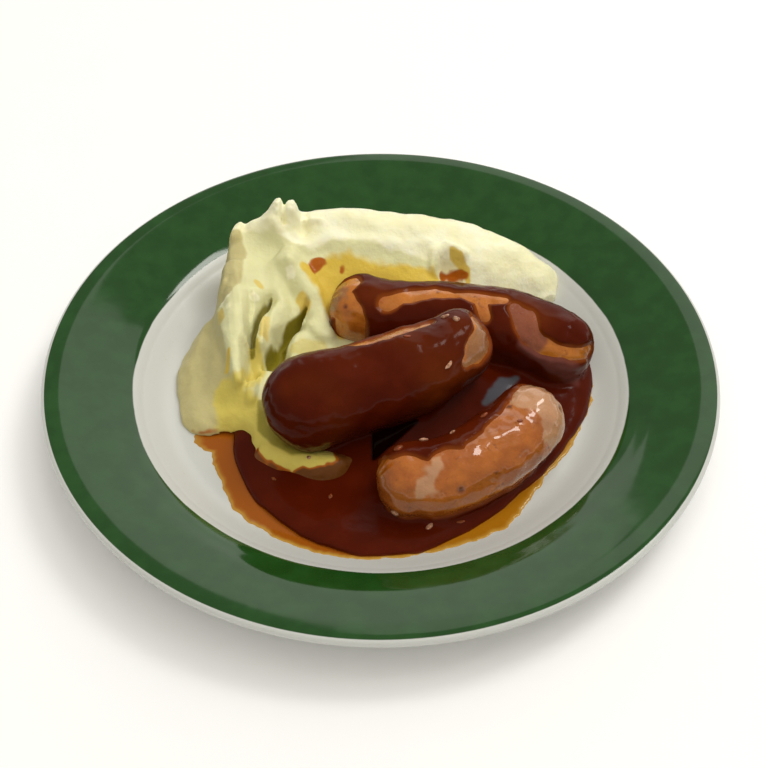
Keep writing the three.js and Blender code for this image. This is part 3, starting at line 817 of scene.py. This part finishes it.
# the edge of the painted shade on the outer flank, between it and the inner face: y and x
FLANK_SHADE_EDGE = np.array([
    (-25, -52), (-17, -52.6), (-13, -54.7), (-5.6, -56.8), (5, -59.3), (20, -62.5), (21.8, -57.5),
    (25, -54), (33, -53), (46, -53.2), (54, -55.5),
])


def shade_inner_face(x, y, wobble):
    """Painted shade: the inner face is darker than the lit top, apart from a few spots left bright as
    painted highlights.
    """
    value = smoothstep(0.8, -0.8, y - np.interp(x, *INNER_RIDGE.T) + 0.6 * wobble) * smoothstep(24, 21, x)
    for spot_x, spot_y, radius in UNSHADED_SPOTS:
        value = value * smoothstep(radius - 0.4, radius + 0.4, np.hypot(x - spot_x, y - spot_y) + wobble)
    return value


# painted shade on the outer flank, which faces away from the light
def shade_outer_flank(x, y, wobble):
    edge = np.interp(y, *FLANK_SHADE_EDGE.T)
    return smoothstep(0.6, -0.6, x - edge + 0.5 * wobble) * smoothstep(54, 53, y)


def paint(x, y, rows, wobble):
    value = np.zeros(len(x))
    for path, strength in rows:
        value = np.maximum(value, strength * smoothstep(1.25, 0.75, lobe_reach(x, y, path) + 0.14 * wobble))
    return value


# where gravy stains the mash: points on its surface, radius, strength
STAINS = [
    ([(-25.8, 39.5, 31), (-24.5, 41.5, 32.5)], 2.6, 0.6),
    ([(-15.6, 40.6, 30), (-15.4, 39.4, 29)], 0.9, 0.5),
    ([(26, 43.8, 21.8), (31.8, 44.4, 21.8)], 2.9, 0.5),
    ([(-69, -26.5, 7.5), (-60, -27.5, 9), (-51.5, -29, 10)], 1.2, 0.5),
    ([(-26, -50, 9), (-18, -50, 10), (-13, -44, 11)], 5.5, 0.95),
    ([(-45, -39, 11), (-39, -44, 11), (-34, -47, 10)], 1.9, 0.85),
]


def mash_sauce(points, wobble):
    value = np.zeros(len(points))
    for path, radius, strength in STAINS:
        away = chain_distance(points, [(*spot, radius) for spot in path]) + 0.9 * wobble
        value = np.maximum(value, strength * smoothstep(1.2, -1.2, away))
    return value


# ---- The gravy ------------------------------------------------------------------------------

# where the skin shows through the gravy: points on a sausage, and how wide the bare patch is
BARE = {
    "sausage_back": [
        [(-13.5, 27, 34, 5.4), (-18, 25, 27, 7), (-14.4, 18.1, 31, 5.8), (-12, 13.2, 27, 6.4),
         (-12.5, 12, 22, 7)],
        [(2.8, 16.4, 33.4, 3.8), (8, 18.2, 34, 2.9), (20, 20, 35, 2.9), (29, 18.8, 35.2, 1.5)],
        [(29, 19.4, 35.2, 1.5), (37, 17.3, 35, 2.9), (46.5, 16.3, 34.7, 1.5)],
        [(38, 15, 34.4, 2.6), (39.5, 10, 32.6, 1.9)],
        [(50.5, 12.4, 34, 2.8), (54, 8, 33, 4.2), (55.5, 3.2, 30, 3.6), (60, 0, 28, 2.0)],
        [(60, 0, 28, 2.6), (65, -3, 27.5, 2.6), (72, -3.4, 26, 2.7), (79, 1, 23, 2.6)],
    ],
    "sausage_middle": [
        [(-15, -16, 42.4, 2.8), (-5.4, -14.6, 45, 4.2), (2.5, -12.6, 46, 4.2), (9.5, -10.4, 46.6, 3.0),
         (17, -7.4, 46.6, 0.9)],
        [(35.5, -4, 43.5, 4), (37, -9.5, 41.5, 5.6), (34, -15.5, 39.8, 4.8), (30.5, -19.5, 38.6, 2.0)],
    ],
    "sausage_front": [
        [(1, -65, 22.5, 10.4), (5, -67, 23, 11.6), (9.5, -68.5, 24, 13.2), (15.4, -71.4, 24.5, 8.6),
         (21, -69, 25, 12), (26.5, -67, 26, 13.2), (32, -66.5, 26, 10.4), (37.5, -60.5, 26.5, 12.2),
         (46, -54, 27, 14), (54, -44, 27, 13.8), (60, -33, 27, 13)],
    ],
}
COAT = 1.1  # thickness of the gravy on the skins
FILLET = 3.2  # how far the gravy rounds off where the pool climbs a sausage
# painted sheen on the gravy under the back sausage's right end, and a painted blue-grey reflection beside
# the front sausage: points (x, y, z, radius)
SHEEN_PATCH = [
    (52, 0.9, 26.7, 2), (57.5, -1.8, 25.6, 2.6), (62.9, -5.6, 24.2, 3.6), (69, -6.6, 20, 4.4),
    (75, -3, 15, 4),
]
GREY_REFLECTION = [(39, -17, 14.5, 1.2), (42, -13, 14.8, 2.8), (46.8, -7.5, 14.8, 3), (51, -4, 13.8, 1.4)]
# a crease in the gravy under the middle sausage, darkened with painted shade
HOLLOW = [(-4, -38.6, 14.6, 4.8), (1.6, -35.3, 15, 3.1), (6, -33, 15.9, 1.9), (13, -29.5, 18, 0.3)]
HOLLOW_END = -2.6  # x of its flat left end


def pool_top(x, y):
    radius = np.hypot(x, y)
    bearing = np.degrees(np.arctan2(y, x))
    turned = POOL_EDGE[0, 0] + np.mod(bearing - POOL_EDGE[0, 0], 360)
    edge = np.interp(turned, POOL_EDGE[:, 0], POOL_EDGE[:, 1])
    inside = edge - radius
    rounding = np.sqrt(np.maximum(1 - (1 - np.clip(inside / POOL_EDGE_WIDTH, 0, 1)) ** 2, 0))
    floor = plate_top(radius) + POOL_EDGE_HEIGHT
    heap = bumps(x, y, POOL_HEAPS)
    top = floor + (np.maximum(POOL_LEVEL - floor, 0) + heap) * rounding
    return top, inside


def build_gravy(sausages):
    cell = 0.6
    block = Block((-72, -90, 4), (88, 46, 52), cell)
    x, y = block.x[:, :, 0], block.y[:, :, 0]
    top, inside = pool_top(x, y)
    edge_noise = block.lumps(8, 21)[:, :, 0] * 0.9 + block.lumps(3, 22)[:, :, 0] * 0.35
    swell = block.lumps(14, 26)[:, :, 0] * 0.35
    pool = np.maximum(block.z - (top + swell)[..., None], -(inside + edge_noise)[..., None] * 0.9)
    pool = blend_max(pool, (plate_top(np.hypot(x, y)) - 0.4)[..., None] - block.z, 0.3)
    ragged = block.lumps(5, 23) * 0.8 + block.lumps(2.2, 24) * 0.45
    thick = block.lumps(9, 25) * 0.3
    field = pool
    nearest_body = None
    for name, (points, quads) in sausages.items():
        body = block.of_mesh(points, quads, 5.0)
        coat = COAT + thick
        for path in BARE[name]:
            away = block.of_chain([spot[:3] for spot in path], [spot[3] for spot in path]) + ragged
            coat = np.minimum(coat, away * 0.7)
        coat = np.maximum(coat, -1.6)
        field = blend_min(field, body - coat, FILLET)
        nearest_body = body if nearest_body is None else np.minimum(nearest_body, body)
    hollow = block.of_chain([spot[:3] for spot in HOLLOW], [spot[3] for spot in HOLLOW])
    hollow = np.maximum(hollow, HOLLOW_END - block.x)
    field = blend_max(field, -hollow, 0.6)
    points, quads = block.skin(field)
    piece = make_mesh("brown_gravy", points, quads, GRAVY, node="gravy")
    over_skin = block.sample(nearest_body, points)
    over_plate = points[:, 2] - plate_top(np.hypot(points[:, 0], points[:, 1]))
    depth = np.minimum(over_skin, over_plate)
    keep_value(piece, "thin", smoothstep(1.3, 0.2, depth))
    keep_value(piece, "shade", smoothstep(1.0, 0.4, block.sample(hollow, points)))
    wobble = wander(points, 6, 51, 2)
    # painted sheen and painted reflection on the gravy
    keep_value(piece, "painted_sheen", 0.8 * smoothstep(1.2, -1.2, chain_distance(points, SHEEN_PATCH) + wobble))
    keep_value(piece, "painted_reflection", 0.75 * smoothstep(0.7, -0.7, chain_distance(points, GREY_REFLECTION) + 0.6 * wobble))
    return piece


# ---- Bits of fried onion --------------------------------------------------------------------

# place, length, width, turn in degrees, colour
BITS = [
    ((23.2, -4.1, 46), 3.4, 1.8, 12, "pale"),
    ((27, -6.4, 47), 2.8, 2.2, -30, "pale"),
    ((9.4, -15.4, 47), 2.8, 1.2, 0, "brown"),
    ((24.1, -24.7, 42), 3.8, 1.5, 75, "pale"),
    ((36.2, -20.8, 13), 3.4, 1.8, 40, "brown"),
    ((25, -49.1, 34), 2.6, 1.4, 55, "pale"),
    ((14.9, -52.7, 34), 3.4, 2.0, -25, "pale"),
    ((6.2, -55.6, 33), 3.6, 2.8, 15, "brown"),
    ((17.1, -71.2, 10), 3.4, 1.8, 50, "pale"),
    ((27.9, -69.4, 10), 3.2, 1.1, 15, "brown"),
    ((5, -70, 16), 3.0, 2.4, -20, "pale"),
    ((-25.5, -44.2, 15), 1.5, 1.3, 0, "pale"),
    ((-17.5, -58, 10), 2.2, 1.4, 70, "brown"),
    ((48.5, -21.5, 11), 2.2, 1.3, 20, "brown"),
    ((-38, -50, 10), 2.0, 1.2, -35, "brown"),
]
LAID_FROM = Vector((0, -0.7, 0.72))  # the side from which the bits were spooned on


def cooked_onion(name, colour_code):
    """Onion fried soft and glazed with gravy."""
    material, tree, shader, place = new_material(name)
    tone = cloud(tree, place, 1.5, 2)
    colour = mix(tree, ramp(tree, tone, 0.3, 0.7), linear(colour_code), linear("#6d3a1e"))
    tree.links.new(colour, shader.inputs["Base Color"])
    set_values(shader, Roughness=0.22, IOR=1.4, Subsurface_Weight=0.2, Subsurface_Scale=1 * MM)
    return material


def build_bits(surfaces):
    """Lays each bit on the topmost surface under it, half sunk in."""
    rng = np.random.default_rng(7)
    trees = [BVHTree.FromPolygons([v.co[:] for v in piece.data.vertices],
                                  [p.vertices[:] for p in piece.data.polygons]) for piece in surfaces]
    materials = {
        "pale": cooked_onion("soft_onion", "#c79a7c"),
        "brown": cooked_onion("fried_onion", "#8c4423"),
    }
    rings, around = 9, 16
    for kind, material in materials.items():
        points, faces = [], []
        for spot, length, width, turn, bit_kind in BITS:
            if bit_kind != kind:
                continue
            start = (Vector(spot) + LAID_FROM * 60) * MM
            hits = [tree.ray_cast(start, -LAID_FROM) for tree in trees]
            place, normal = min(((h[0], h[1]) for h in hits if h[0]), key=lambda h: (h[0] - start).length)
            along = Vector((math.cos(math.radians(turn)), math.sin(math.radians(turn)), 0))
            along = (along - normal * along.dot(normal)).normalized()
            across = normal.cross(along)
            bend = rng.uniform(0.1, 0.5)
            base = len(points)
            for i in range(rings):
                phi = math.pi * (i + 0.3) / (rings - 0.4) - math.pi / 2
                for k in range(around):
                    angle = 2 * math.pi * k / around
                    u = length / 2 * math.sin(phi)
                    lump = 1 + 0.14 * math.sin(3 * angle + 5 * bend) + 0.08 * math.sin(5 * phi + 9 * bend)
                    v = width / 2 * math.cos(phi) * math.cos(angle) * lump + bend * u * u / length
                    w = 0.32 * width * math.cos(phi) * math.sin(angle) * lump + 0.1
                    points.append(np.array(place) / MM + u * np.array(along) + v * np.array(across)
                                  + w * np.array(normal))
            ring_faces = tube_faces(rings, around) + base
            faces += ring_faces.tolist()
            faces.append([base + k for k in range(around)][::-1])
            faces.append([base + (rings - 1) * around + k for k in range(around)])
        make_mesh("onion_" + kind, points, faces, material)


# ---- Thin juice round the gravy -------------------------------------------------------------

# outer edge of the juice: bearing and radius
JUICE_EDGE = np.array([
    (198, 72), (203, 76), (209, 71), (219, 75), (230, 80), (246, 83), (262, 84), (281, 82),
    (292, 82), (303, 82), (314, 77), (322, 75), (345, 78), (352, 80), (362, 82),
])
JUICE_CORNER = (-70.5, -29.5)  # where it has run thinnest
JUICE_THICKNESS = 0.55
JUICE_SUNK = 0.12


def build_juice():
    bearings = np.linspace(JUICE_EDGE[0, 0], JUICE_EDGE[-1, 0], 420)
    outer = np.interp(bearings, JUICE_EDGE[:, 0], JUICE_EDGE[:, 1])
    ring = np.stack([np.cos(np.radians(bearings)), np.sin(np.radians(bearings))], axis=1) * 80
    flat = np.concatenate([ring, np.zeros((len(ring), 1))], axis=1)
    outer = outer + 0.7 * wander(flat, 5, 41, 2) + 0.2 * wander(flat, 1.6, 43)
    pool = np.interp(bearings, POOL_EDGE[:, 0], POOL_EDGE[:, 1])
    inner = np.minimum(pool - 4, outer - 2)
    t = np.linspace(0, 1, 14)[None, :]
    radius = inner[:, None] + (outer - inner)[:, None] * t
    rise = JUICE_THICKNESS * np.sqrt(np.maximum(1 - t ** 6, 0)) - JUICE_SUNK
    top_z = plate_top(radius) + rise
    back = radius[:, ::-1][:, ::3]
    cos, sin = np.cos(np.radians(bearings))[:, None], np.sin(np.radians(bearings))[:, None]
    top = np.stack([radius * cos, radius * sin, top_z], axis=2)
    bottom = np.stack([back * cos, back * sin, plate_top(back) - 0.5], axis=2)
    points, quads = closed_tube(np.concatenate([top, bottom], axis=1))
    piece = make_mesh("thin_juice", points, quads, JUICE)
    away = np.hypot(points[:, 0], points[:, 1])
    turned = 180 + np.mod(np.degrees(np.arctan2(points[:, 1], points[:, 0])) - 180, 360)
    from_corner = np.hypot(points[:, 0] - JUICE_CORNER[0], points[:, 1] - JUICE_CORNER[1])
    corner = 0.6 * smoothstep(6, 3, from_corner)
    from_edge = np.interp(turned, bearings, outer) - away
    keep_value(piece, "thin", np.maximum(corner, smoothstep(2.5, 0.3, from_edge)))


# ---- Stage ----------------------------------------------------------------------------------

CAMERA_ELEVATION = 46.54
CAMERA_AIM = (1.25, -14.27, 21.49)
CAMERA_DISTANCE = 488.5
CAMERA_LENS = 62.16
CAMERA_SENSOR = 36.0


def place_camera():
    data = bpy.data.cameras.new("camera")
    data.sensor_width = CAMERA_SENSOR
    data.lens = CAMERA_LENS
    data.clip_start = 0.01
    camera = bpy.data.objects.new("camera", data)
    bpy.context.scene.collection.objects.link(camera)
    angle = math.radians(CAMERA_ELEVATION)
    back = Vector((0, -math.cos(angle), math.sin(angle)))
    camera.location = (Vector(CAMERA_AIM) + back * CAMERA_DISTANCE) * MM
    camera.rotation_euler = (math.pi / 2 - angle, 0, 0)
    bpy.context.scene.camera = camera


def area_light(name, centre, target, width, height, radiance, colour="#ffffff", glints=True):
    """A rectangle of light of the given radiance, facing a target; sizes in metres."""
    data = bpy.data.lights.new(name, "AREA")
    data.shape = "RECTANGLE"
    data.size, data.size_y = width, height
    data.energy = radiance * math.pi * width * height
    data.color = linear(colour)[:3]
    light = bpy.data.objects.new(name, data)
    bpy.context.scene.collection.objects.link(light)
    light.location = centre
    direction = Vector(target) - Vector(centre)
    light.rotation_euler = direction.to_track_quat("-Z", "Y").to_euler()
    light.visible_glossy = glints


def polar(azimuth, elevation, distance):
    """A point seen from the plate: azimuth from the back, + to the right, in degrees."""
    a, e = math.radians(azimuth), math.radians(elevation)
    return (distance * math.sin(a) * math.cos(e), distance * math.cos(a) * math.cos(e),
            distance * math.sin(e))


PANEL_DISTANCE = 6.0  # metres


def back_panel(name, left, right, low, high, radiance, colour):
    """An upright panel far behind the plate, between two azimuths and two elevations in degrees."""
    x0, x1, z0, z1 = (PANEL_DISTANCE * math.tan(math.radians(v)) for v in (left, right, low, high))
    x, z = (x0 + x1) / 2, (z0 + z1) / 2
    area_light(name, (x, PANEL_DISTANCE, z), (x, 0, z), x1 - x0, z1 - z0, radiance, colour)


def light_scene():
    middle = (0, 0, 0.02)
    # dim panels behind the plate: their edges show in the rim's glaze
    back_panel("window", -1.5, 36, 35, 51.5, 0.9, "#fffdf8")
    back_panel("window_sill", -15, 36, 8, 35, 0.9, "#fffdf8")
    back_panel("low_back", -6, 8, 13, 19, 5.0, "#ffffff")
    area_light("key", polar(60, 57, 2.4), middle, 0.6, 0.6, 9.0, "#fffdf8")
    area_light("soft_key", polar(62, 64, 2.8), middle, 2.2, 2.2, 1.85, "#fffefc", glints=False)
    area_light("front_fill", polar(185, 62, 3.2), middle, 3.4, 3.4, 1.2, "#fffaf0", glints=False)
    world = bpy.data.worlds.new("studio")
    world.use_nodes = True
    background = world.node_tree.nodes["Background"]
    background.inputs["Color"].default_value = linear("#fffdf9")
    background.inputs["Strength"].default_value = 0.34
    bpy.context.scene.world = world
    bpy.context.scene.view_settings.view_transform = "Standard"


TABLE_SIZE = 16.0  # metres


def build_floor():
    material, tree, shader, place = new_material("pale_table")
    grain = cloud(tree, place, 40, 2)
    tree.links.new(mix(tree, grain, linear("#fafaf9"), linear("#fcfcfb")), shader.inputs["Base Color"])
    set_values(shader, Roughness=0.8, Specular_IOR_Level=0.2)
    mesh = bpy.data.meshes.new("table_top")
    half = TABLE_SIZE / 2
    mesh.from_pydata([(-half, -half, 0), (half, -half, 0), (half, half, 0), (-half, half, 0)], [],
                     [(0, 1, 2, 3)])
    mesh.materials.append(material)
    floor = bpy.data.objects.new("table_top", mesh)
    bpy.context.scene.collection.objects.link(floor)


# ---- Making it ------------------------------------------------------------------------------

GLAZE = glazed_stoneware()
POTATO = creamed_potato()
SKIN_DARK = fried_skin("fried_skin_dark", "#bf7222", "#ae5f18", "#6c3010", "#8f653f", 0.6)
SKIN_PALE = fried_skin("fried_skin", "#b0621a", "#9f5312", "#632e0e", "#c0916a", 0.8)
GRAVY = onion_gravy()
JUICE = thin_juice()

place_camera()
light_scene()
build_floor()
build_plate()
sausage_pieces, sausage_meshes = build_sausages()
mash_piece = build_mash()
gravy_piece = build_gravy(sausage_meshes)
build_bits([gravy_piece, mash_piece, *sausage_pieces.values()])
build_juice()
